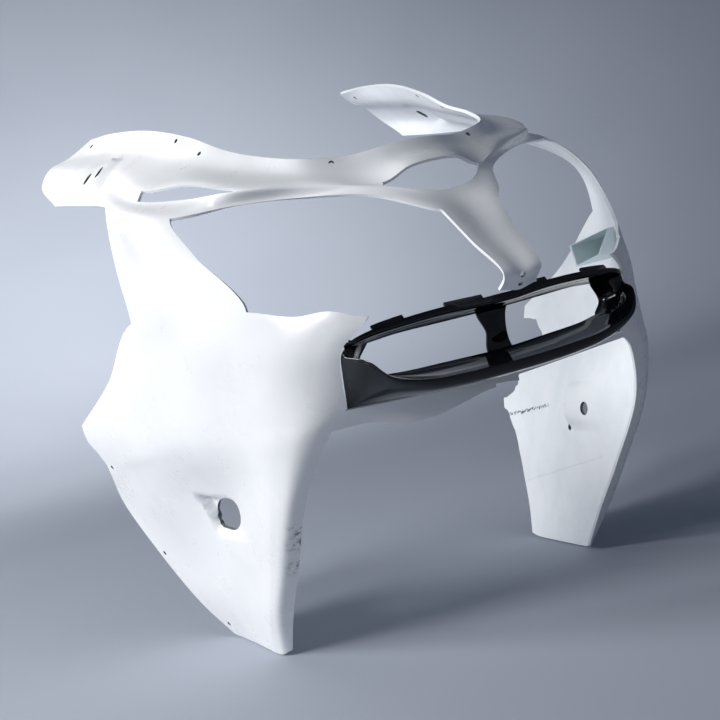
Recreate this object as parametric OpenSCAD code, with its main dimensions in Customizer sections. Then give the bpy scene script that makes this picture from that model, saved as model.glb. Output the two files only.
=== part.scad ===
// Upper fairing of a sport motorcycle: one moulded white shell with a separate black
// air intake surround. The nose points to -Y, the lowest edge lies at Z = 0 and the
// two halves mirror each other about X = 0. The bike's left side is +X.

/* [Overall size] */
// Widest distance between the two side panels
fairing_w = 542; // [480:2:600]
// Length from the nose to the rear of the mirror pads
fairing_l = 627; // [560:1:700]
// Height from the lower edge of the panels to the screen rim
fairing_h = 537; // [480:1:600]

/* [Walls] */
// Wall of the white shell
wall = 3; // [2:0.1:4]
// Wall of the black intake surround
intake_wall = 2.5; // [2:0.1:3.5]
// Gap between the intake surround and the shell around it
intake_gap = 1.2; // [0.8:0.1:2]
// Wall of the lamp pockets inside the shell
pocket_wall = 2.5; // [2:0.1:3.5]
// Half width between the open mouths of the lamp pockets
pocket_mouth = 180; // [165:1:185]
// Bond line between a lamp pocket and the skin
bond_gap = 1.6; // [1.2:0.1:2.5]

/* [Holes] */
// Width of the mirror bolt slots
slot_d = 7; // [5:0.5:9]
// Distance between the round ends of a slot
slot_run = 5; // [3:0.5:8]
// Distance between the two slots on one mirror pad
slot_pitch = 28; // [24:1:44]
// Screen screw holes along the rim
screen_hole_d = 5; // [4:0.5:7]
// Fixing holes along the rear edge of the side panels
edge_hole_d = 5; // [4:0.5:7]
// Height of the oval turn signal hole in the right panel
signal_hole_d = 28; // [20:1:32]
// Distance between the round ends of that hole
signal_hole_run = 34; // [20:1:40]
// Round turn signal hole in the left panel
stalk_hole_d = 14; // [10:1:20]
// Fixing hole behind it
stay_hole_d = 7; // [5:0.5:9]
// Holes in the foot of the centre bridge
foot_hole_d = 5; // [4:0.5:7]

/* [Moulded form] */
// Depth of the hollow round each turn signal hole, at its rear wall
signal_hollow = 9; // [0:0.5:12]
// Height of the seat of each mirror over the skin, at its front end
mirror_seat = 6; // [0:0.5:8]
// Height of the belly that hangs from the chin
chin_belly = 10; // [0:1:16]

/* [Hidden] */
$fn = 24;

// The control points are set out on a fairing of this width, length and height
base = [542, 627, 537];
grow = [fairing_w / base[0], fairing_l / base[1], fairing_h / base[2]];

// Rows of control points from the centre plane to the rear end of the right half.
// Columns: centre, bridge edge, vent tip, brow, slit front, strut front, slit rear,
// strut rear, middle and rear end of the mirror pad or of the side panel.
screen_rim = [[0, -163, 448], [24, -160, 447], [55, -148, 445], [95, -129, 452],
    [116, -75, 466], [122, -25, 479], [130, 35, 500], [142, 120, 521],
    [152, 215, 533], [156, 284, 537]];
rim_step = [[0, -172, 438], [24, -169, 437], [56, -157, 434], [98, -137, 439],
    [128, -88, 453], [140, -30, 466], [149, 40, 482], [157, 118, 502],
    [165, 210, 515], [180, 302, 523]];
vent_top = [[0, -203, 426], [24, -201, 424], [47, -190, 415], [103, -146, 431],
    [152, -111, 439], [173, -48, 453], [192, 26, 459], [184, 115, 486],
    [192, 205, 500], [202, 316, 515]];
vent_bottom = [[0, -222, 397], [24, -217, 401], [49, -193, 412], [104, -148, 427],
    [153, -113, 436], [178, -50, 440], [199, 26, 450], [200, 112, 472],
    [210, 200, 484], [216, 311, 498]];
brow_edge = [[0, -247, 378], [27, -248, 382], [62, -192, 407], [106, -144, 418],
    [152, -104, 424], [201, -66, 426], [213, 10, 440], [216, 78, 453],
    [213, 180, 463], [218, 266, 472]];
strut_middle = [[0, -277, 350], [22, -278, 352], [80, -240, 370], [120, -200, 375],
    [160, -160, 380], [205, -122, 389], [231, -75, 390], [251, -35, 392],
    [262, 40, 370], [268, 100, 350]];
panel_top = [[0, -310, 320], [18, -311, 322], [120, -262, 312], [144, -242, 322],
    [164, -212, 323], [190, -176, 334], [222, -115, 343], [253, -49, 342],
    [262, 45, 289], [271, 158, 244]];
shoulder = [[0, -298, 305], [18, -298, 308], [141, -240, 288], [159, -226, 296],
    [179, -200, 301], [205, -155, 307], [233, -95, 308], [252, -35, 303],
    [261, 60, 262], [268, 162, 226]];
cheek_line = [[0, -240, 260], [100, -235, 260], [141, -228, 265], [163, -215, 268],
    [186, -190, 270], [209, -145, 270], [233, -90, 268], [247, -30, 262],
    [258, 65, 236], [262, 158, 212]];
chin_top = [[0, -226, 230], [24, -227, 230], [140, -220, 237], [166, -212, 237],
    [188, -188, 236], [209, -140, 232], [229, -85, 228], [240, -25, 222],
    [251, 68, 208], [256, 158, 198]];
chin_edge = [[0, -226, 222], [24, -227, 222], [153, -211, 222], [175, -204, 222],
    [192, -182, 220], [208, -136, 216], [224, -82, 212], [234, -20, 206],
    [246, 72, 196], [253, 162, 188]];
signal_line = [[0, -180, 170], [140, -175, 170], [173, -173, 168], [187, -170, 168],
    [196, -150, 168], [201, -112, 167], [205, -62, 165], [214, 0, 161],
    [233, 95, 154], [239, 192, 148]];
lower_line = [[0, -130, 100], [140, -125, 100], [174, -115, 98], [187, -112, 98],
    [193, -98, 98], [195, -68, 97], [197, -25, 96], [201, 35, 95],
    [211, 102, 93], [221, 168, 92]];
hem_line = [[0, -70, 45], [140, -72, 45], [173, -70, 48], [185, -67, 47],
    [190, -54, 46], [190, -25, 45], [190, 10, 43], [192, 52, 41],
    [196, 94, 38], [200, 134, 36]];
panel_bottom = [[0, -30, 4], [140, -35, 4], [171, -36, 5], [177, -27, 1],
    [179, -14, 0], [179, 6, 0], [179, 30, 0], [179, 54, 0],
    [180, 78, 0], [183, 98, 2]];
shell_net = [screen_rim, rim_step, vent_top, vent_bottom, brow_edge, strut_middle,
    panel_top, shoulder, cheek_line, chin_top, chin_edge, signal_line, lower_line,
    hem_line, panel_bottom];

// First and last column of each stretch of skin between two rows
shell_spans = [[[0, 8]], [[0, 8]], [[2, 3], [6, 8]], [[0, 8]],
    [[0, 0], [5, 6]], [[0, 0], [5, 6]], [[0, 0], [2, 8]], [[2, 8]], [[2, 8]],
    [[0, 8]], [[2, 8]], [[2, 8]], [[2, 8]], [[2, 8]]];
shell_row_steps = [2, 3, 2, 3, 4, 4, 3, 3, 2, 1, 4, 4, 3, 2];
shell_col_steps = [2, 5, 4, 3, 4, 3, 5, 5, 4];

// Intake surround. Columns: centre, centre strut edge, inner, middle, outer opening end,
// corner of the lip and the side, which follows the front edge of the panel beside it.
clip_top = [[0, -261, 306], [15, -261, 306], [50, -259, 307], [88, -256, 306],
    [116, -251, 303], [127, -248, 300], beside_panel(6, 0.66, 2)];
bar_top = [[0, -264, 303], [15, -264, 303], [50, -262, 304], [88, -259, 303],
    [116, -254, 300], [129, -250, 297], beside_panel(6, 0.74, 2)];
bar_face = [[0, -266, 297], [15, -266, 297], [50, -264, 299], [88, -261, 298],
    [116, -255, 296], [130, -250, 293], beside_panel(6, 0.82, 2)];
throat_top = [[0, -247, 290], [15, -246, 290], [50, -241, 290], [88, -236, 290],
    [112, -230, 288], [127, -238, 289], beside_panel(6, 0.9, 2)];
strut_waist = [[0, -249, 273], [10, -247, 273], [50, -241, 273], [88, -235, 273],
    [121, -224, 271], [131, -240, 276], beside_panel(6, 0.97, 2)];
throat_bottom = [[0, -248, 256], [12, -247, 256], [50, -243, 257], [88, -237, 258],
    [110, -230, 260], [125, -246, 265], beside_panel(7, 0.04, 1.5)];
lip_inner = [[0, -276, 247], [12, -276, 247], [50, -275, 248], [84, -271, 251],
    [113, -263, 261], [127, -260, 272], beside_panel(7, 0.12)];
lip_crest = [[0, -287, 248], [12, -287, 248], [50, -286, 249], [84, -283, 251],
    [118, -279, 260], [131, -266, 277], beside_panel(7, 0.22)];
lip_lower = [[0, -283, 240], [12, -283, 240], [50, -282, 241], [84, -279, 244],
    [117, -271, 253], [132, -259, 268], beside_panel(7, 0.36)];
cheek_bottom = [above_chin(0, 0), above_chin(0, 0.5), above_chin(1, 0.22),
    above_chin(1, 0.5), above_chin(1, 0.78), above_chin(1, 0.92), beside_panel(8, 0.95)];
intake_net = [clip_top, bar_top, bar_face, throat_top, strut_waist, throat_bottom,
    lip_inner, lip_crest, lip_lower, cheek_bottom];
intake_spans = [[[1, 1], [3, 3]], [[0, 5]], [[0, 5]], [[0, 0], [4, 5]], [[0, 0], [4, 5]],
    [[0, 5]], [[0, 5]], [[0, 5]], [[0, 5]]];
intake_row_steps = [1, 1, 2, 3, 3, 2, 2, 2, 3];
intake_col_steps = [2, 3, 3, 4, 4, 3];

function stretch(p) = [p[0] * grow[0], p[1] * grow[1], p[2] * grow[2]];
function mirrored(p) = [-p[0], p[1], p[2]];
function unit(p) = p / norm(p);
function ramp(x) = min(max(x, 0), 1);
function step(x) = let (c = ramp(x)) c * c * (3 - 2 * c);

// Smooth curve through p1 and p2, with the spans between points as its knots
function knot(a, b) = sqrt(max(norm(b - a), 0.01));
function curve(p0, p1, p2, p3, t) =
    let (a = knot(p0, p1), b = knot(p1, p2), c = knot(p2, p3),
         m1 = b * ((p1 - p0) / a - (p2 - p0) / (a + b) + (p2 - p1) / b),
         m2 = b * ((p2 - p1) / b - (p3 - p1) / (b + c) + (p3 - p2) / c),
         s = t * t, q = s * t)
    (2 * q - 3 * s + 1) * p1 + (q - 2 * s + t) * m1
        + (3 * s - 2 * q) * p2 + (q - s) * m2;

// Places along a list of steps, each as the span it lies in and the share of it
function places(steps) = concat(
    [for (j = [0 : len(steps) - 1]) for (s = [0 : steps[j] - 1]) [j, s / steps[j]]],
    [[len(steps) - 1, 1]]);

// A point along one row, from the centre plane outwards
function on_row(row, j, t) =
    curve(j > 0 ? row[j - 1] : mirrored(row[1]), row[j], row[j + 1],
          j + 2 < len(row) ? row[j + 2] : 2 * row[j + 1] - row[j], t);

// A point between rows, where cut holds the same place along every row
function on_cut(cut, i, t) =
    curve(i > 0 ? cut[i - 1] : 2 * cut[0] - cut[1], cut[i], cut[i + 1],
          i + 2 < len(cut) ? cut[i + 2] : 2 * cut[i + 1] - cut[i], t);

// A point a few gaps inside the front edge of the side panel, and one just above the chin
function beside_panel(i, t, gaps = 1) =
    on_cut([for (row = shell_net) row[2]], i, t) - [gaps * intake_gap, 0, 0];
function above_chin(j, t) = on_row(chin_top, j, t) + [0, 0, intake_gap];

function surface_point(net, i, ti, j, tj) =
    stretch(on_cut([for (row = net) on_row(row, j, tj)], i, ti));

// One half of the surface as a grid of points
function half_grid(net, row_steps, col_steps) =
    let (cuts = [for (c = places(col_steps)) [for (row = net) on_row(row, c[0], c[1])]])
    [for (r = places(row_steps)) [for (cut = cuts) moulded(stretch(on_cut(cut, r[0], r[1])))]];

// Flats pressed into the skin that deepen towards one end wall. Each has its place, its
// facing (1 deepens to the rear), the shallow and the deep end of its floor, half its
// height, the width of its walls and its depth at the end wall, less than 0 if raised.
function pressings() = [
    [signal_place, 1, -50, 48, 15, 10, signal_hollow],
    [mirror_pad, -1, -50, 42, 17, 9, -mirror_seat]];

// How deep one pressing is at point p, within reach of the skin that it is pressed into
pressing_reach = 20;
function pressed(h, p) =
    let (frame = h[0],
         d = p - frame[3],
         length = h[1] * (d * frame[1]),
         side = abs(d * frame[0]))
    abs(d * frame[2]) > pressing_reach ? 0
        : h[6] * pow(ramp((length - h[2]) / (h[3] - h[2])), 1.5)
            * (1 - step((length - h[3]) / h[5])) * (1 - step((side - h[4]) / h[5]));

// How far the lower edge of the chin hangs down along its width, as shares of the belly
belly_line = [[0, 0], [14, 0.1], [39, 0.6], [60, 1], [97, 1], [104, 0.6], [112, 0.2], [124, 0]];
chin_edge_top = 226;
function belly(p) =
    p[2] < chin_edge_top * grow[2] ? chin_belly * lookup(p[0] / grow[0], belly_line) : 0;

// A point of the surface with its pressings and the belly of the chin
function moulded(p) =
    p - [0, 0, belly(p)] - sum([for (h = pressings()) pressed(h, p) * h[0][2]]);
function sum(list, i = 0) = i < len(list) - 1 ? list[i] + sum(list, i + 1) : list[i];

// Both halves, from the left end through the centre to the right end
function full_grid(half) =
    [for (line = half) concat([for (b = [len(line) - 1 : -1 : 1]) mirrored(line[b])], line)];

function normal_at(g, a, b) =
    let (down = g[min(a + 1, len(g) - 1)][b] - g[max(a - 1, 0)][b],
         out = g[a][min(b + 1, len(g[0]) - 1)] - g[a][max(b - 1, 0)])
    unit(cross(down, out));

function inner_grid(g, t) =
    [for (a = [0 : len(g) - 1]) [for (b = [0 : len(g[0]) - 1])
        g[a][b] - t * normal_at(g, a, b)]];

function has_skin(spans, i, j) =
    len([for (s = spans[i]) if (j >= s[0] && j <= s[1]) 1]) > 0;

// Which small cells of the full grid carry skin
function skin_map(spans, row_steps, col_steps) =
    let (rows = places(row_steps), cols = places(col_steps), n = len(cols) - 1)
    [for (a = [0 : len(rows) - 2])
        let (half = [for (b = [0 : n - 1]) has_skin(spans, rows[a][0], cols[b][0])])
        concat([for (b = [n - 1 : -1 : 0]) half[b]], half)];

function filled(map, a, b) =
    a >= 0 && b >= 0 && a < len(map) && b < len(map[0]) ? map[a][b] : false;

// Places of the holes on the skin: row and share of it, column and share of it
mirror_pad = skin_frame(shell_net, 2, 0.43, 7, 0.53);
signal_place = skin_frame(shell_net, 11, 0.25, 6, 0.32);
stalk_place = skin_frame(shell_net, 11, 0.3, 6, 0.2);
screen_screws = [skin_frame(shell_net, 0, 0.5, 8, 0.6), skin_frame(shell_net, 0, 0.4, 2, 0.35),
    skin_frame(shell_net, 0, 0.25, 6, 0.25), skin_frame(shell_net, 0, 0.5, 5, 0.5)];
right_holes = [skin_frame(shell_net, 9, 0.4, 8, 0.85), skin_frame(shell_net, 12, 0, 8, 0.8),
    skin_frame(shell_net, 13, 0.6, 8, 0.3)];
stay_place = skin_frame(shell_net, 11, 0.6, 6, 0.7);
foot_holes = [skin_frame(shell_net, 6, 0.2, 0, 0), skin_frame(shell_net, 6, 0.7, 0, 0)];
drill_depth = 30;

// A sheet of even wall over the filled cells, with its rims closed
module sheet(net, spans, row_steps, col_steps, t) {
    outer = full_grid(half_grid(net, row_steps, col_steps));
    inner = inner_grid(outer, t);
    map = skin_map(spans, row_steps, col_steps);
    w = len(outer[0]);
    n = len(outer) * w;
    quads = [for (a = [0 : len(map) - 1]) for (b = [0 : w - 2]) if (map[a][b])
        let (p = a * w + b, q = p + 1, r = p + w + 1, s = p + w)
        each concat([[p, q, r, s], [n + s, n + r, n + q, n + p]],
            filled(map, a - 1, b) ? [] : [[q, p, n + p, n + q]],
            filled(map, a, b + 1) ? [] : [[r, q, n + q, n + r]],
            filled(map, a + 1, b) ? [] : [[s, r, n + r, n + s]],
            filled(map, a, b - 1) ? [] : [[p, s, n + s, n + p]])];
    faces = [for (f = quads) each [[f[0], f[1], f[2]], [f[0], f[2], f[3]]]];
    polyhedron(points = [for (g = [outer, inner]) for (line = g) each line],
        faces = faces, convexity = 12);
}

// A place on the skin with its axes: down the skin, level along it to the rear, and out
function skin_frame(net, i, ti, j, tj) =
    let (e = 0.02,
         here = surface_point(net, i, ti, j, tj),
         down = surface_point(net, i, ti + e, j, tj) - here,
         back = surface_point(net, i, ti, j, tj + e) - here,
         out = unit(cross(down, back)),
         level = unit(cross(out, [0, 0, -1])))
    [cross(level, out), level, out, here];

// Puts its children on the skin of the left half (+X), or of the right half
module on_skin(f, right = false) {
    m = [for (r = [0 : 2]) [f[0][r], f[1][r], f[2][r], f[3][r]]];
    mirror([right ? 1 : 0, 0, 0])
        multmatrix(m)
            children();
}

module drill(d) {
    cylinder(d = d, h = drill_depth, center = true);
}

// A slot with round ends that runs down the skin
module slot(d, run) {
    for (end = [-1, 1])
        translate([end * run / 2, 0, 0])
            drill(d);
    cube([run, d, drill_depth], center = true);
}

// Turn signal hole along the skin, with a smaller round end to the rear
signal_taper = 0.7;
module signal_hole() {
    hull()
        for (end = [-1, 1])
            translate([0, end * signal_hole_run / 2, 0])
                drill(signal_hole_d * (end > 0 ? signal_taper : 1));
}

module shell_holes() {
    for (right = [false, true]) {
        for (side = [-1, 1])
            on_skin(mirror_pad, right)
                translate([0, side * slot_pitch / 2, 0])
                    slot(slot_d, slot_run);
        for (place = screen_screws) on_skin(place, right) drill(screen_hole_d);
    }
    on_skin(signal_place, true) signal_hole();
    on_skin(stalk_place) drill(stalk_hole_d);
    on_skin(stay_place) drill(stay_hole_d);
    for (place = right_holes) on_skin(place, true) drill(edge_hole_d);
    for (place = foot_holes) on_skin(place) drill(foot_hole_d);
}

module fairing_shell() {
    color("white")
    difference() {
        sheet(shell_net, shell_spans, shell_row_steps, shell_col_steps, wall);
        shell_holes();
    }
}

module intake_surround() {
    color([0.06, 0.07, 0.09])
    sheet(intake_net, intake_spans, intake_row_steps, intake_col_steps, intake_wall);
}

// Corners of a lamp pocket on the inner face of the skin, in turn round its mouth
function pocket_seat() = [for (c = [[6, 0.75, 5, 0.95], [6, 0.15, 5, 0], [7, 0.1, 5, 0],
        [7, 0.35, 5, 0.75]])
    let (f = skin_frame(shell_net, c[0], c[1], c[2], c[3]))
    f[3] - (wall + bond_gap) * f[2]];

// A four-walled pocket between the inner face of the skin and a flat mouth
module lamp_pocket() {
    seat = pocket_seat();
    mouth = [for (p = seat) [pocket_mouth * grow[0], p[1], p[2]]];
    middle = (mouth[0] + mouth[1] + mouth[2] + mouth[3]) / 4;
    function inset(p) = let (q = [p[0], middle[1], middle[2]])
        p + unit(q - p) * pocket_wall * sqrt(2);
    rings = [seat, mouth, [for (p = mouth) inset(p)], [for (p = seat) inset(p)]];
    faces = [for (r = [0 : 3]) for (k = [0 : 3])
        let (a = r * 4 + k, b = r * 4 + (k + 1) % 4, c = (r + 1) % 4 * 4)
        each [[a, b, c + k], [b, c + (k + 1) % 4, c + k]]];
    polyhedron(points = [for (ring = rings) each ring], faces = faces);
}

module lamp_pocket_left() {
    color([0.8, 0.88, 0.9]) lamp_pocket();
}

module lamp_pocket_right() {
    mirror([1, 0, 0]) lamp_pocket_left();
}

fairing_shell();
intake_surround();
lamp_pocket_right();
lamp_pocket_left();
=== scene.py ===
import math

import bmesh
import bpy
from mathutils import Matrix, Vector


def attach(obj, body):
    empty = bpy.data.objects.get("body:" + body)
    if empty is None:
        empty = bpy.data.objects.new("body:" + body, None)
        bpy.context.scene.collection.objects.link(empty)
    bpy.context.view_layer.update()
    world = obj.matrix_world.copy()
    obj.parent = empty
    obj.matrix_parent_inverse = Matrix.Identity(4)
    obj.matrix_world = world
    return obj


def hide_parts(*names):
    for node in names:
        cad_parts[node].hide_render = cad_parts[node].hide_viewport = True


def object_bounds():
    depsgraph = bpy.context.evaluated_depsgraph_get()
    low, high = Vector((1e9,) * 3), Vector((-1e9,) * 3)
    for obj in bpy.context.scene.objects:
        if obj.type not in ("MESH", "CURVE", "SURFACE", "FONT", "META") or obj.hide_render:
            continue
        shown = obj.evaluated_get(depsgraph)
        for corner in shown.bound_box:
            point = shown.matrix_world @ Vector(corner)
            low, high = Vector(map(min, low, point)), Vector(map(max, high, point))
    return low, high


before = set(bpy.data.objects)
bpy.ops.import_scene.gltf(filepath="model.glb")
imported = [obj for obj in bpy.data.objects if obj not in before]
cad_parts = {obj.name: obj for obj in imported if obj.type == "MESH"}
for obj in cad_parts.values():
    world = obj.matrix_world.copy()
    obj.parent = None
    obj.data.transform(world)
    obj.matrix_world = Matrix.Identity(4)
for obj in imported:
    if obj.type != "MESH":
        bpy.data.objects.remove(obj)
cad_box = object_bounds()

# A millimetre in the scene's unit, and sizes in mm.
MM = 0.001
WALL = 3
INTAKE_WALL = 2.5
INTAKE_GAP = 1.2
PRESSING_REACH = 20
BELLY_TOP = 226
BELLY_DROP = 10
MIRROR_SLOT_OFFSETS = (-14, 14)
MIRROR_SLOT_WIDTH = 9
MIRROR_SLOT_RUN = 6
SCREW_RADIUS = 2.5
STALK_RADIUS = 7
STAY_RADIUS = 3.5
DRILL_REACH = 15
TORN_REACH = 70
TORN_BEYOND = 300
SHELL_BEVEL = 0.45
INTAKE_BEVEL = 0.9
POCKET_BEVEL = 0.6

# How many facets stand in for one of the CAD model's, along each of its sides.
SHELL_FINENESS = 3
INTAKE_FINENESS = 4

# The share of a span that a slope is read over.
PROBE = 0.02

# Two corners of a mesh that are closer than this, in metres, are one.
SAME_PLACE = 1e-6


def row(*points):
    return [Vector(point) for point in points]


# The shell's control rows in mm, from the centre plane to the rear end of the left half.
screen_rim = row(
    (0, -163, 448), (24, -160, 447), (55, -148, 445), (95, -129, 452), (116, -75, 466),
    (122, -25, 479), (130, 35, 500), (142, 120, 521), (152, 215, 533), (156, 284, 537))
rim_step = row(
    (0, -172, 438), (24, -169, 437), (56, -157, 434), (98, -137, 439), (128, -88, 453),
    (140, -30, 466), (149, 40, 482), (157, 118, 502), (165, 210, 515), (180, 302, 523))
vent_top = row(
    (0, -203, 426), (24, -201, 424), (47, -190, 415), (103, -146, 431), (152, -111, 439),
    (173, -48, 453), (192, 26, 459), (184, 115, 486), (192, 205, 500), (202, 316, 515))
vent_bottom = row(
    (0, -222, 397), (24, -217, 401), (49, -193, 412), (104, -148, 427), (153, -113, 436),
    (178, -50, 440), (199, 26, 450), (200, 112, 472), (210, 200, 484), (216, 311, 498))
brow_edge = row(
    (0, -247, 378), (27, -248, 382), (62, -192, 407), (106, -144, 418), (152, -104, 424),
    (201, -66, 426), (213, 10, 440), (216, 78, 453), (213, 180, 463), (218, 266, 472))
strut_middle = row(
    (0, -277, 350), (22, -278, 352), (80, -240, 370), (120, -200, 375), (160, -160, 380),
    (205, -122, 389), (231, -75, 390), (251, -35, 392), (262, 40, 370), (268, 100, 350))
panel_top = row(
    (0, -310, 320), (18, -311, 322), (120, -262, 312), (144, -242, 322), (164, -212, 323),
    (190, -176, 334), (222, -115, 343), (253, -49, 342), (262, 45, 289), (271, 158, 244))
shoulder = row(
    (0, -298, 305), (18, -298, 308), (141, -240, 288), (159, -226, 296), (179, -200, 301),
    (205, -155, 307), (233, -95, 308), (252, -35, 303), (261, 60, 262), (268, 162, 226))
cheek_line = row(
    (0, -240, 260), (100, -235, 260), (141, -228, 265), (163, -215, 268), (186, -190, 270),
    (209, -145, 270), (233, -90, 268), (247, -30, 262), (258, 65, 236), (262, 158, 212))
chin_top = row(
    (0, -226, 230), (24, -227, 230), (140, -220, 237), (166, -212, 237), (188, -188, 236),
    (209, -140, 232), (229, -85, 228), (240, -25, 222), (251, 68, 208), (256, 158, 198))
chin_edge = row(
    (0, -226, 222), (24, -227, 222), (153, -211, 222), (175, -204, 222), (192, -182, 220),
    (208, -136, 216), (224, -82, 212), (234, -20, 206), (246, 72, 196), (253, 162, 188))
signal_line = row(
    (0, -180, 170), (140, -175, 170), (173, -173, 168), (187, -170, 168), (196, -150, 168),
    (201, -112, 167), (205, -62, 165), (214, 0, 161), (233, 95, 154), (239, 192, 148))
lower_line = row(
    (0, -130, 100), (140, -125, 100), (174, -115, 98), (187, -112, 98), (193, -98, 98),
    (195, -68, 97), (197, -25, 96), (201, 35, 95), (211, 102, 93), (221, 168, 92))
hem_line = row(
    (0, -70, 45), (140, -72, 45), (173, -70, 48), (185, -67, 47), (190, -54, 46), (190, -25, 45),
    (190, 10, 43), (192, 52, 41), (196, 94, 38), (200, 134, 36))
panel_bottom = row(
    (0, -30, 4), (140, -35, 4), (171, -36, 5), (177, -27, 1), (179, -14, 0), (179, 6, 0),
    (179, 30, 0), (179, 54, 0), (180, 78, 0), (183, 98, 2))
shell_net = [screen_rim, rim_step, vent_top, vent_bottom, brow_edge, strut_middle, panel_top,
             shoulder, cheek_line, chin_top, chin_edge, signal_line, lower_line, hem_line,
             panel_bottom]

# The column spans that hold material in each row, and the facets of each span in the CAD model.
shell_spans = [[(0, 8)], [(0, 8)], [(2, 3), (6, 8)], [(0, 8)], [(0, 0), (5, 6)], [(0, 0), (5, 6)],
               [(0, 0), (2, 8)], [(2, 8)], [(2, 8)], [(0, 8)], [(2, 8)], [(2, 8)], [(2, 8)],
               [(2, 8)]]
shell_row_steps = [2, 3, 2, 3, 4, 4, 3, 3, 2, 1, 4, 4, 3, 2]
shell_col_steps = [2, 5, 4, 3, 4, 3, 5, 5, 4]

# The mirror wing's first column, the span it blends over and the row below it.
WING_COLUMN = 7
WING_BLEND = 0.6
WING_ROW = 5

# The row of the chin's lower flange.
CHIN_LIP_ROW = 9


def mirrored(p):
    return Vector((-p.x, p.y, p.z))


def ramp(x):
    return min(max(x, 0), 1)


def step(x):
    c = ramp(x)
    return c * c * (3 - 2 * c)


def knot(a, b):
    return math.sqrt(max((b - a).length, 0.01))


def curve(p0, p1, p2, p3, t):
    """A smooth curve through p1 and p2."""
    a, b, c = knot(p0, p1), knot(p1, p2), knot(p2, p3)
    m1 = b * ((p1 - p0) / a - (p2 - p0) / (a + b) + (p2 - p1) / b)
    m2 = b * ((p2 - p1) / b - (p3 - p1) / (b + c) + (p3 - p2) / c)
    s = t * t
    q = s * t
    return (2 * q - 3 * s + 1) * p1 + (q - 2 * s + t) * m1 + (3 * s - 2 * q) * p2 + (q - s) * m2


def places(steps):
    """Places along a list of steps, each as its span and the share of it."""
    return [(j, s / n) for j, n in enumerate(steps) for s in range(n)] + [(len(steps) - 1, 1.0)]


def on_row(points, j, t):
    before = points[j - 1] if j > 0 else mirrored(points[1])
    after = points[j + 2] if j + 2 < len(points) else 2 * points[j + 1] - points[j]
    return curve(before, points[j], points[j + 1], after, t)


def on_cut(cut, i, t):
    before = cut[i - 1] if i > 0 else 2 * cut[0] - cut[1]
    after = cut[i + 2] if i + 2 < len(cut) else 2 * cut[i + 1] - cut[i]
    return curve(before, cut[i], cut[i + 1], after, t)


def surface_point(net, i, ti, j, tj):
    return on_cut([on_row(points, j, tj) for points in net], i, ti)


def skin_frame(net, i, ti, j, tj):
    """A place on the skin: down it, level along it to the rear, out, and where it is."""
    here = surface_point(net, i, ti, j, tj)
    down = surface_point(net, i, ti + PROBE, j, tj) - here
    back = surface_point(net, i, ti, j, tj + PROBE) - here
    out = down.cross(back).normalized()
    level = out.cross(Vector((0, 0, -1))).normalized()
    return level.cross(out), level, out, here


mirror_pad = skin_frame(shell_net, 2, 0.43, 7, 0.53)
signal_place = skin_frame(shell_net, 11, 0.25, 6, 0.32)

# Pressings: place, facing, shallow and deep end of the floor, half height, wall and depth.
pressings = [(signal_place, 1, -50, 34, 16, 5, 9), (mirror_pad, -1, -34, 21, 19, 6, -6)]
FLOOR_CURVE = 1.5


def pressed(place, facing, shallow, deep, half, edge, depth, p):
    """How deep a pressing takes the skin in at p."""
    down, level, out, here = place
    d = p - here
    if abs(d.dot(out)) > PRESSING_REACH:
        return 0
    length = facing * d.dot(level)
    side = abs(d.dot(down))
    floor = depth * ramp((length - shallow) / (deep - shallow)) ** FLOOR_CURVE
    return floor * (1 - step((length - deep) / edge)) * (1 - step((side - half) / edge))


# The belly's share of its full drop along x.
belly_line = [(0, 0), (14, 0.1), (39, 0.6), (60, 1), (97, 1), (104, 0.6), (112, 0.2), (124, 0)]


def belly(p):
    """How far the lower edge of the chin hangs down at p."""
    if p.z >= BELLY_TOP or p.x >= belly_line[-1][0]:
        return 0
    for (x0, y0), (x1, y1) in zip(belly_line, belly_line[1:]):
        if p.x <= x1:
            return BELLY_DROP * (y0 + (y1 - y0) * (p.x - x0) / (x1 - x0))


def shell_form(p):
    moved = p - Vector((0, 0, belly(p)))
    for pressing in pressings:
        moved -= pressed(*pressing, p) * pressing[0][2]
    return moved


def wing_end(cut, j, t):
    """The upper rows of a cut, which let the mirror wing end in a round corner over the strut."""
    share = step((j + t - WING_COLUMN) / WING_BLEND)
    straight_on = 2 * cut[WING_ROW - 1] - cut[WING_ROW - 2]
    return cut[:WING_ROW] + [cut[WING_ROW].lerp(straight_on, share)]


def shell_cut(cut, i, t, place):
    if i < WING_ROW - 1:
        cut = wing_end(cut, *place)
    return shell_form(on_cut(cut, i, t))


def intake_cut(cut, i, t, place):
    return on_cut(cut, i, t)


def chin_break(i, t, j):
    """Whether a cell lies in the chin's lower flange, which is broken away on the left."""
    return i == CHIN_LIP_ROW and (j == 0 and t > 0.6 or j == 1 and t > 0.3)


def kept_inside(p):
    """The place in the CAD model's box that is nearest to p."""
    return Vector([min(max(value, low), high) for value, low, high in zip(p, *cad_box)])


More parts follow.
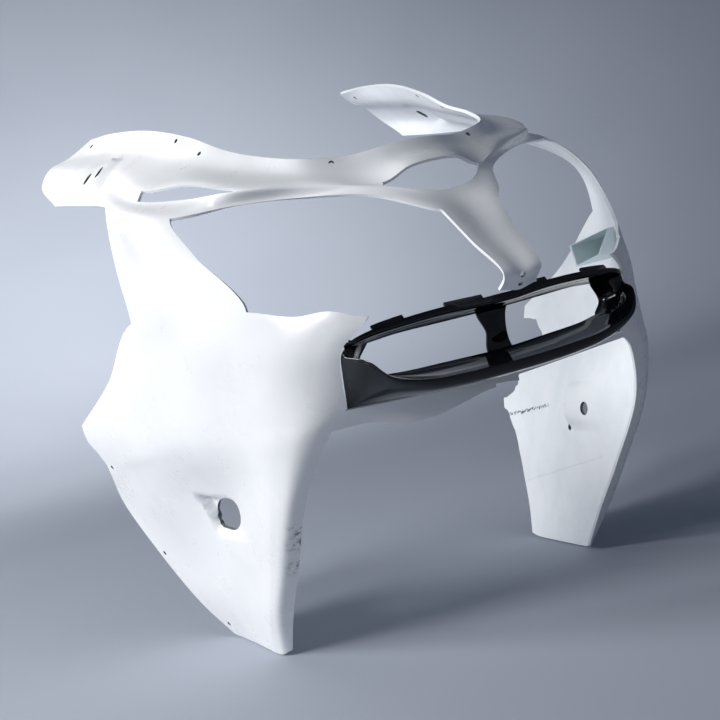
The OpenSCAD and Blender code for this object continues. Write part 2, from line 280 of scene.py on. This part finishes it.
def sheet(name, net, spans, row_steps, col_steps, wall, fineness, form, materials, lost=None):
    """A sheet of even wall over the spans of a net, with quads on both sides and closed rims.

    Its outer face has the first material, and its inner face and rims the second. Cells that are
    lost are left out of the left half.
    """
    row_steps = [n * fineness for n in row_steps]
    col_steps = [n * fineness for n in col_steps]
    down, along = places(row_steps), places(col_steps)
    cuts = [[on_row(points, j, t) for points in net] for j, t in along]
    half = [[form(cut, i, t, place) for cut, place in zip(cuts, along)] for i, t in down]
    outer = [[mirrored(p) for p in line[:0:-1]] + line for line in half]
    filled = []
    for i, t in down[:-1]:
        cells = [any(a <= j <= b for a, b in spans[i]) for j, s in along[:-1]]
        kept = [cell and not (lost and lost(i, t, j)) for cell, (j, s) in zip(cells, along)]
        filled.append(cells[::-1] + kept)
    high, wide = len(outer), len(outer[0])
    inner = []
    for a in range(high):
        line = []
        for b in range(wide):
            fall = outer[min(a + 1, high - 1)][b] - outer[max(a - 1, 0)][b]
            side = outer[a][min(b + 1, wide - 1)] - outer[a][max(b - 1, 0)]
            line.append(outer[a][b] - wall * fall.cross(side).normalized())
        inner.append(line)

    def skin(a, b):
        return 0 <= a < high - 1 and 0 <= b < wide - 1 and filled[a][b]

    made = bmesh.new()
    corners = {}

    def corner(layer, a, b):
        if (layer, a, b) not in corners:
            corners[layer, a, b] = made.verts.new(kept_inside((outer, inner)[layer][a][b] * MM))
        return corners[layer, a, b]

    def face(material, *keys):
        new = made.faces.new([corner(*key) for key in keys])
        new.material_index = material

    for a in range(high - 1):
        for b in range(wide - 1):
            if not skin(a, b):
                continue
            p, q, r, s = (a, b), (a, b + 1), (a + 1, b + 1), (a + 1, b)
            face(0, (0, *p), (0, *q), (0, *r), (0, *s))
            face(1, (1, *s), (1, *r), (1, *q), (1, *p))
            for beside, first, second in (((a - 1, b), q, p), ((a, b + 1), r, q),
                                          ((a + 1, b), s, r), ((a, b - 1), p, s)):
                if not skin(*beside):
                    face(1, (0, *first), (0, *second), (1, *second), (1, *first))
    mesh = bpy.data.meshes.new(name)
    made.to_mesh(mesh)
    made.free()
    for material in materials:
        mesh.materials.append(material)
    piece = bpy.data.objects.new(name, mesh)
    bpy.context.scene.collection.objects.link(piece)
    return piece


def stadium(run, front, rear, segments=20):
    """The outline of a slot along its second axis, with a round end of its own size at each end."""
    points = []
    for k in range(segments + 1):
        turn = math.pi * k / segments
        points.append((front * math.cos(turn), -run / 2 - front * math.sin(turn)))
    for k in range(segments + 1):
        turn = math.pi * k / segments
        points.append((-rear * math.cos(turn), run / 2 + rear * math.sin(turn)))
    return points


def round_hole(radius):
    return stadium(0, radius, radius)


def slot(offset, width, run):
    """A slot that runs down the skin."""
    return [(v, u + offset) for u, v in stadium(run, width / 2, width / 2)]


def drill(made, place, outline, right, reach=DRILL_REACH):
    """Adds a prism over an outline on the skin to the drilled forms."""
    down, level, out, here = place
    ends = []
    for depth in (-reach, reach):
        ring = [here + down * u + level * v + out * depth for u, v in outline]
        ends.append([made.verts.new((mirrored(p) if right else p) * MM) for p in ring])
    first, last = ends
    made.faces.new(first)
    made.faces.new(last[::-1])
    for k in range(len(first)):
        after = (k + 1) % len(first)
        made.faces.new((first[after], first[k], last[k], last[after]))


def rounded(outline, steps=6):
    """A closed smooth outline through the points of another."""
    points = [Vector((u, v, 0)) for u, v in outline]
    line = []
    for k in range(len(points)):
        around = [points[(k + n) % len(points)] for n in (-1, 0, 1, 2)]
        line += [curve(*around, s / steps) for s in range(steps)]
    return [(p.x, p.y) for p in line]


# Down and rearwards from the signal's place, in mm: its hole, and the left panel's torn rear edge.
signal_outline = [(-14, 6), (-19, -20), (-17, -31), (-11, -34), (-2, -31), (8, -21),
                  (17, -1), (18, 18), (16, 34), (9, 35), (1, 33), (-7, 22)]
torn_edge = [(-89, 183), (-88, 176), (-88, 167), (-79, 159), (-74, 151), (-69, 147), (-62, 152),
             (-57, 162), (-48, 167), (-42, 180), (-37, 182), (-33, 194), (-27, 192), (-22, 196),
             (-12, 195), (-9, 201), (-6, 201), (-2, 206), (1, 214), (4, 220), (6, 234), (15, 234),
             (19, 217), (23, 211), (27, 209), (36, 200), (41, 193), (53, 183), (62, 178), (77, 168),
             (92, 160), (110, 149), (129, 137), (150, 125), (170, 114)]

# Screw holes, each as its row, the share of it, its column and the share of that.
screen_holes = [(0, 0.5, 8, 0.6), (0, 0.4, 2, 0.35), (0, 0.25, 6, 0.25), (0, 0.5, 5, 0.5)]
panel_holes = [(9, 0.4, 8, 0.85), (12, 0, 8, 0.8), (13, 0.6, 8, 0.3)]
foot_holes = [(6, 0.2, 0, 0), (6, 0.7, 0, 0)]
stalk_hole = (11, 0.3, 6, 0.2)
stay_hole = (11, 0.6, 6, 0.7)


def shell_drills():
    """One mesh of everything that is taken out of the shell."""
    made = bmesh.new()
    torn_away = torn_edge + [(torn_edge[-1][0], TORN_BEYOND), (torn_edge[0][0], TORN_BEYOND)]
    drill(made, signal_place, torn_away, False, TORN_REACH)
    for right in (False, True):
        for offset in MIRROR_SLOT_OFFSETS:
            drill(made, mirror_pad, slot(offset, MIRROR_SLOT_WIDTH, MIRROR_SLOT_RUN), right)
        for place in screen_holes:
            drill(made, skin_frame(shell_net, *place), round_hole(SCREW_RADIUS), right)
    drill(made, signal_place, rounded(signal_outline), True)
    drill(made, skin_frame(shell_net, *stalk_hole), round_hole(STALK_RADIUS), False)
    drill(made, skin_frame(shell_net, *stay_hole), round_hole(STAY_RADIUS), False)
    for place in panel_holes:
        drill(made, skin_frame(shell_net, *place), round_hole(SCREW_RADIUS), True)
    for place in foot_holes:
        drill(made, skin_frame(shell_net, *place), round_hole(SCREW_RADIUS), False)
    bmesh.ops.remove_doubles(made, verts=made.verts, dist=SAME_PLACE)
    bmesh.ops.recalc_face_normals(made, faces=made.faces)
    mesh = bpy.data.meshes.new("drills")
    made.to_mesh(mesh)
    made.free()
    # The drilled walls take the dark edge colours, which are painted shade.
    mesh.materials.append(edge_shade)
    drills = bpy.data.objects.new("drills", mesh)
    bpy.context.scene.collection.objects.link(drills)
    return drills


def cut_away(piece, drills):
    """Takes the drilled forms out of a piece for good."""
    cut = piece.modifiers.new("cut", "BOOLEAN")
    cut.operation = "DIFFERENCE"
    cut.solver = "EXACT"
    cut.material_mode = "TRANSFER"
    cut.object = drills
    bpy.context.view_layer.update()
    shown = piece.evaluated_get(bpy.context.evaluated_depsgraph_get())
    mesh = bpy.data.meshes.new_from_object(shown)
    piece.modifiers.clear()
    piece.data = mesh
    bpy.data.objects.remove(drills)


def round_edges(piece, width, angle=50, segments=2):
    """Shades a piece smooth and rounds its edges that are sharper than an angle."""
    for face in piece.data.polygons:
        face.use_smooth = True
    edges = piece.modifiers.new("edges", "BEVEL")
    edges.limit_method = "ANGLE"
    edges.angle_limit = math.radians(angle)
    edges.width = width * MM
    edges.segments = segments
    edges.harden_normals = True


# Materials: each is a node tree around one Principled shader, in object coordinates.
class Nodes:
    """Short calls that add nodes to a material's tree."""

    def __init__(self, name):
        self.material = bpy.data.materials.new(name)
        self.material.use_nodes = True
        self.tree = self.material.node_tree
        self.shader = self.tree.nodes["Principled BSDF"]
        self.place = self.tree.nodes.new("ShaderNodeTexCoord").outputs["Object"]

    def link(self, source, target):
        self.tree.links.new(source, target)

    def noise(self, scale, detail=4, roughness=0.55):
        node = self.tree.nodes.new("ShaderNodeTexNoise")
        node.inputs["Scale"].default_value = scale
        node.inputs["Detail"].default_value = detail
        node.inputs["Roughness"].default_value = roughness
        self.link(self.place, node.inputs["Vector"])
        return node.outputs["Fac"]

    def ramp(self, value, low, high, out_low=0.0, out_high=1.0):
        node = self.tree.nodes.new("ShaderNodeMapRange")
        node.interpolation_type = "SMOOTHSTEP"
        limits = {"From Min": low, "From Max": high, "To Min": out_low, "To Max": out_high}
        for socket, limit in limits.items():
            node.inputs[socket].default_value = limit
        self.link(value, node.inputs["Value"])
        return node.outputs["Result"]

    def math(self, operation, *values):
        node = self.tree.nodes.new("ShaderNodeMath")
        node.operation = operation
        for socket, value in zip(node.inputs, values):
            if isinstance(value, (int, float)):
                socket.default_value = value
            else:
                self.link(value, socket)
        return node.outputs["Value"]

    def mix(self, amount, first, second):
        node = self.tree.nodes.new("ShaderNodeMix")
        node.data_type = "RGBA"
        self.link(amount, node.inputs["Factor"])
        for socket, colour in ((node.inputs[6], first), (node.inputs[7], second)):
            if isinstance(colour, tuple):
                socket.default_value = (*colour, 1)
            else:
                self.link(colour, socket)
        return node.outputs[2]

    def bump(self, height, distance, strength=1.0):
        node = self.tree.nodes.new("ShaderNodeBump")
        node.inputs["Strength"].default_value = strength
        node.inputs["Distance"].default_value = distance
        self.link(height, node.inputs["Height"])
        self.link(node.outputs["Normal"], self.shader.inputs["Normal"])

    def vector(self, operation, source, value=None):
        node = self.tree.nodes.new("ShaderNodeVectorMath")
        node.operation = operation
        self.link(source, node.inputs[0])
        if value is not None:
            node.inputs[1].default_value = value
        return node.outputs

    def patch(self, middle, reach, grain):
        """A ragged spot round a place, 1 in its middle and 0 beyond its reach."""
        offset = self.vector("SUBTRACT", self.place, middle)[0]
        share = self.vector("DIVIDE", offset, reach)[0]
        near = self.ramp(self.vector("LENGTH", share)["Value"], 0.2, 1.1, 1.0, 0.0)
        ragged = self.ramp(self.noise(grain, 5, 0.7), 0.46, 0.66)
        return self.math("MULTIPLY", near, ragged)

    def line(self, start, end, width, wander, grain):
        """A ragged line on the surface from start to end, 1 on the line and 0 off it."""
        start, end = Vector(start), Vector(end)
        length = (end - start).length
        along = (end - start).normalized()
        across = along.cross(Vector((1, 0, 0))).normalized()
        offset = self.vector("SUBTRACT", self.place, start)[0]
        run = self.vector("DOT_PRODUCT", offset, along)["Value"]
        rise = self.vector("DOT_PRODUCT", offset, across)["Value"]
        ragged = self.math("MULTIPLY", self.math("SUBTRACT", self.noise(grain, 3), 0.5), wander)
        away = self.math("ABSOLUTE", self.math("ADD", rise, ragged))
        near = self.ramp(away, width * 0.5, width, 1.0, 0.0)
        middle = self.math("ABSOLUTE", self.math("SUBTRACT", run, length / 2))
        within = self.ramp(middle, length * 0.46, length * 0.5, 1.0, 0.0)
        return self.math("MULTIPLY", near, within)


# Colours.
WHITE_CLEAN, WHITE_DULL, WHITE_GRIME = (0.90, 0.905, 0.91), (0.86, 0.87, 0.87), (0.86, 0.86, 0.85)
INNER_CLEAN, INNER_DULL = (0.88, 0.90, 0.92), (0.80, 0.83, 0.86)
SCUFF, CRACK, FAINT_LINE = (0.22, 0.20, 0.18), (0.05, 0.06, 0.06), (0.30, 0.33, 0.34)
# The edge colours are painted shade: dark for the walls of holes and the torn edge.
EDGE_SHADE_DARK, EDGE_SHADE_PALE = (0.07, 0.08, 0.09), (0.24, 0.26, 0.28)
BLACK_DEEP, BLACK_HAZE = (0.0025, 0.003, 0.005), (0.006, 0.007, 0.010)
BLACK_DUST = (0.12, 0.12, 0.12)
POCKET_SHADE, POCKET_CLEAN = (0.76, 0.89, 0.91), (0.82, 0.93, 0.94)
PAPER_DARK, PAPER_PALE = (0.37, 0.40, 0.46), (0.40, 0.43, 0.49)
SKY = (0.55, 0.68, 0.92, 1)

# Wear, in metres: scuffs as middle and reach, and cracks as start and end.
scuffs = [((-0.179, -0.149, 0.137), (0.014, 0.014, 0.010)),
          ((-0.178, -0.137, 0.122), (0.013, 0.014, 0.017)),
          ((-0.178, -0.118, 0.096), (0.011, 0.012, 0.018))]
dark_crack = ((0.227, 0.176, 0.1235), (0.218, 0.066, 0.1406))
faint_crack = ((0.201, 0.1235, 0.0539), (0.192, -0.067, 0.0975))


def white_plastic():
    made = Nodes("white_plastic")
    shader = made.shader
    mottle = made.ramp(made.noise(9, 5, 0.6), 0.42, 0.7)
    grime = made.ramp(made.noise(22, 6, 0.7), 0.56, 0.78)
    colour = made.mix(mottle, WHITE_CLEAN, WHITE_DULL)
    colour = made.mix(grime, colour, WHITE_GRIME)
    for middle, reach in scuffs:
        colour = made.mix(made.patch(middle, reach, 170), colour, SCUFF)
    made.link(colour, shader.inputs["Base Color"])
    made.link(made.ramp(made.noise(30, 4), 0.3, 0.7, 0.26, 0.38), shader.inputs["Roughness"])
    made.bump(made.noise(700, 2, 0.5), 0.00003, 0.5)
    return made.material


def inner_plastic():
    """The bare inner face: duller, with a dark crack and a faint one in the left panel."""
    made = Nodes("white_inner")
    shader = made.shader
    mottle = made.ramp(made.noise(16, 5, 0.65), 0.38, 0.7)
    colour = made.mix(mottle, INNER_CLEAN, INNER_DULL)
    crack = made.line(*dark_crack, width=0.0015, wander=0.009, grain=260)
    faint = made.line(*faint_crack, width=0.0009, wander=0.004, grain=60)
    colour = made.mix(made.math("MULTIPLY", faint, 0.16), colour, FAINT_LINE)
    broken = made.ramp(made.noise(310, 3, 0.6), 0.40, 0.56)
    colour = made.mix(made.math("MULTIPLY", crack, broken), colour, CRACK)
    made.link(colour, shader.inputs["Base Color"])
    made.link(made.ramp(made.noise(45, 4), 0.3, 0.7, 0.42, 0.56), shader.inputs["Roughness"])
    made.bump(made.noise(420, 3, 0.6), 0.00006, 0.6)
    return made.material


def edge_shade_plastic():
    """Cut and torn edge walls: painted shade, dark and rough."""
    made = Nodes("painted_shade_edge")
    grain = made.ramp(made.noise(380, 4, 0.7), 0.35, 0.7)
    made.link(made.mix(grain, EDGE_SHADE_DARK, EDGE_SHADE_PALE), made.shader.inputs["Base Color"])
    made.shader.inputs["Roughness"].default_value = 0.7
    made.bump(made.noise(600, 3, 0.6), 0.0002, 0.8)
    return made.material


def black_plastic():
    made = Nodes("black_gloss")
    shader = made.shader
    haze = made.ramp(made.noise(22, 4, 0.6), 0.45, 0.8)
    dust = made.ramp(made.noise(900, 2, 0.5), 0.72, 0.8)
    colour = made.mix(haze, BLACK_DEEP, BLACK_HAZE)
    colour = made.mix(made.math("MULTIPLY", dust, 0.3), colour, BLACK_DUST)
    made.link(colour, shader.inputs["Base Color"])
    made.link(made.ramp(made.noise(30, 4), 0.3, 0.8, 0.07, 0.17), shader.inputs["Roughness"])
    shader.inputs["Specular IOR Level"].default_value = 0.4
    made.bump(made.noise(400, 2, 0.5), 0.00002, 0.4)
    return made.material


def pocket_plastic():
    made = Nodes("pocket_plastic")
    shader = made.shader
    shade = made.ramp(made.noise(40, 4), 0.35, 0.7)
    made.link(made.mix(shade, POCKET_SHADE, POCKET_CLEAN), shader.inputs["Base Color"])
    made.link(made.ramp(made.noise(60, 3), 0.3, 0.7, 0.3, 0.42), shader.inputs["Roughness"])
    made.bump(made.noise(500, 2, 0.5), 0.00004, 0.5)
    return made.material


white = white_plastic()
black = black_plastic()
pale = pocket_plastic()
inner = inner_plastic()
# Painted shade for the walls of holes and the torn edge.
edge_shade = edge_shade_plastic()
shell = sheet("shell_moulding", shell_net, shell_spans, shell_row_steps, shell_col_steps, WALL,
              SHELL_FINENESS, shell_cut, [white, inner], chin_break)
cut_away(shell, shell_drills())
round_edges(shell, SHELL_BEVEL)
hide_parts("fairing_shell")
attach(shell, "root")


# The intake surround: its last column follows the front edge of the side panel.
def beside_panel(i, t, gaps=1):
    return on_cut([points[2] for points in shell_net], i, t) - Vector((gaps * INTAKE_GAP, 0, 0))


def above_chin(j, t):
    return on_row(chin_top, j, t) + Vector((0, 0, INTAKE_GAP))


intake_net = [
    row((0, -261, 306), (15, -261, 306), (50, -259, 307), (88, -256, 306), (116, -251, 303),
        (127, -248, 300), beside_panel(6, 0.66, 2)),
    row((0, -264, 303), (15, -264, 303), (50, -262, 304), (88, -259, 303), (116, -254, 300),
        (129, -250, 297), beside_panel(6, 0.74, 2)),
    row((0, -266, 297), (15, -266, 297), (50, -264, 299), (88, -261, 298), (116, -255, 296),
        (130, -250, 293), beside_panel(6, 0.82, 2)),
    row((0, -247, 290), (15, -246, 290), (50, -241, 290), (88, -236, 290), (112, -230, 288),
        (127, -238, 289), beside_panel(6, 0.9, 2)),
    row((0, -249, 273), (10, -247, 273), (50, -241, 273), (88, -235, 273), (121, -224, 271),
        (131, -240, 276), beside_panel(6, 0.97, 2)),
    row((0, -248, 256), (12, -247, 256), (50, -243, 257), (88, -237, 258), (110, -230, 260),
        (125, -246, 265), beside_panel(7, 0.04, 1.5)),
    row((0, -276, 247), (12, -276, 247), (50, -275, 248), (84, -271, 251), (113, -263, 261),
        (127, -260, 272), beside_panel(7, 0.12)),
    row((0, -287, 248), (12, -287, 248), (50, -286, 249), (84, -283, 251), (118, -279, 260),
        (131, -266, 277), beside_panel(7, 0.22)),
    row((0, -283, 240), (12, -283, 240), (50, -282, 241), (84, -279, 244), (117, -271, 253),
        (132, -259, 268), beside_panel(7, 0.36)),
    row(above_chin(0, 0), above_chin(0, 0.5), above_chin(1, 0.22), above_chin(1, 0.5),
        above_chin(1, 0.78), above_chin(1, 0.92), beside_panel(8, 0.95))]
intake_spans = [[(1, 1), (3, 3)], [(0, 5)], [(0, 5)], [(0, 0), (4, 5)], [(0, 0), (4, 5)],
                [(0, 5)], [(0, 5)], [(0, 5)], [(0, 5)]]
intake_row_steps = [1, 1, 2, 3, 3, 2, 2, 2, 3]
intake_col_steps = [2, 3, 3, 4, 4, 3]
intake = sheet("intake_moulding", intake_net, intake_spans, intake_row_steps, intake_col_steps,
               INTAKE_WALL, INTAKE_FINENESS, intake_cut, [black, black])
round_edges(intake, INTAKE_BEVEL)
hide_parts("intake_surround")
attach(intake, "root")


def pocket(side):
    """The lamp pocket's own walls with rounded edges."""
    node = "lamp_pocket_" + side
    piece = bpy.data.objects.new("pocket_moulding_" + side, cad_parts[node].data.copy())
    bpy.context.scene.collection.objects.link(piece)
    piece.data.materials.clear()
    piece.data.materials.append(pale)
    form = bmesh.new()
    form.from_mesh(piece.data)
    bmesh.ops.remove_doubles(form, verts=form.verts, dist=SAME_PLACE)
    bmesh.ops.join_triangles(form, faces=form.faces, angle_face_threshold=math.radians(12),
                             angle_shape_threshold=math.radians(60))
    form.to_mesh(piece.data)
    form.free()
    round_edges(piece, POCKET_BEVEL, angle=35)
    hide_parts(node)
    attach(piece, "root")


pocket("left")
pocket("right")


# Studio: a seamless bowl of floor and backdrop, soft lamps and a pale sky.
def backdrop(reach=3.2, sweep=1.6, height=4.4, steps=16, turns=96):
    """A round floor that curves up into a wall, so that no horizon shows from any side."""
    outline = [(0.4, 0), (reach - sweep, 0)]
    for i in range(1, steps + 1):
        angle = math.pi / 2 * i / steps
        outline.append((reach - sweep + sweep * math.sin(angle), sweep - sweep * math.cos(angle)))
    outline.append((reach, height))
    points = [(0, 0, 0)]
    faces = []
    for radius, level in outline:
        for k in range(turns):
            turn = 2 * math.pi * k / turns
            points.append((radius * math.cos(turn), radius * math.sin(turn), level))
    for k in range(turns):
        faces.append((0, 1 + k, 1 + (k + 1) % turns))
    for ring in range(len(outline) - 1):
        for k in range(turns):
            first = 1 + ring * turns + k
            second = 1 + ring * turns + (k + 1) % turns
            faces.append((first, first + turns, second + turns, second))
    mesh = bpy.data.meshes.new("backdrop")
    mesh.from_pydata(points, [], faces)
    for face in mesh.polygons:
        face.use_smooth = True
    made = Nodes("backdrop_paper")
    mottle = made.ramp(made.noise(1.2, 2), 0.3, 0.7)
    made.link(made.mix(mottle, PAPER_DARK, PAPER_PALE), made.shader.inputs["Base Color"])
    made.shader.inputs["Roughness"].default_value = 0.95
    made.shader.inputs["Specular IOR Level"].default_value = 0.1
    mesh.materials.append(made.material)
    piece = bpy.data.objects.new("backdrop", mesh)
    bpy.context.scene.collection.objects.link(piece)
    piece.location.z = -MM


def area_light(name, place, target, size, power, spread=180):
    """A round lamp at a place, turned to its target. Its spread is in degrees."""
    data = bpy.data.lights.new(name, "AREA")
    data.shape = "DISK"
    data.size = size
    data.energy = power
    data.spread = math.radians(spread)
    lamp = bpy.data.objects.new(name, data)
    bpy.context.scene.collection.objects.link(lamp)
    lamp.location = place
    lamp.rotation_mode = "QUATERNION"
    lamp.rotation_quaternion = (Vector(target) - Vector(place)).to_track_quat("-Z", "Y")


backdrop()
middle = (0, 0, 0.27)
area_light("key", (-2.1, -0.5, 1.5), middle, size=0.9, power=34)
area_light("side", (-1.9, 0.9, 1.1), middle, size=0.8, power=29)
area_light("rear", (-0.9, 1.9, 1.7), middle, size=1.0, power=5)
area_light("wall", (0.1, 1.5, 1.6), (0.35, 2.5, 0.35), size=0.7, power=13, spread=110)

world = bpy.data.worlds.new("studio")
world.use_nodes = True
sky = world.node_tree.nodes["Background"]
sky.inputs["Color"].default_value = SKY
sky.inputs["Strength"].default_value = 0.17
bpy.context.scene.world = world


def camera():
    """The photo's viewpoint, from the directions that point right and up in the photo."""
    data = bpy.data.cameras.new("camera")
    data.sensor_width = 36
    data.lens = 75
    viewer = bpy.data.objects.new("camera", data)
    bpy.context.scene.collection.objects.link(viewer)
    right = Vector((0.8848, -0.4113, -0.2190))
    up = Vector((0.2403, 0, 0.9707))
    back = right.cross(up).normalized()
    up = back.cross(right).normalized()
    right = up.cross(back).normalized()
    place = Matrix((right, up, back)).transposed().to_4x4()
    place.translation = (-0.6162, -1.3587, 0.3984)
    viewer.matrix_world = place
    bpy.context.scene.camera = viewer


camera()
bpy.context.scene.view_settings.view_transform = "Standard"
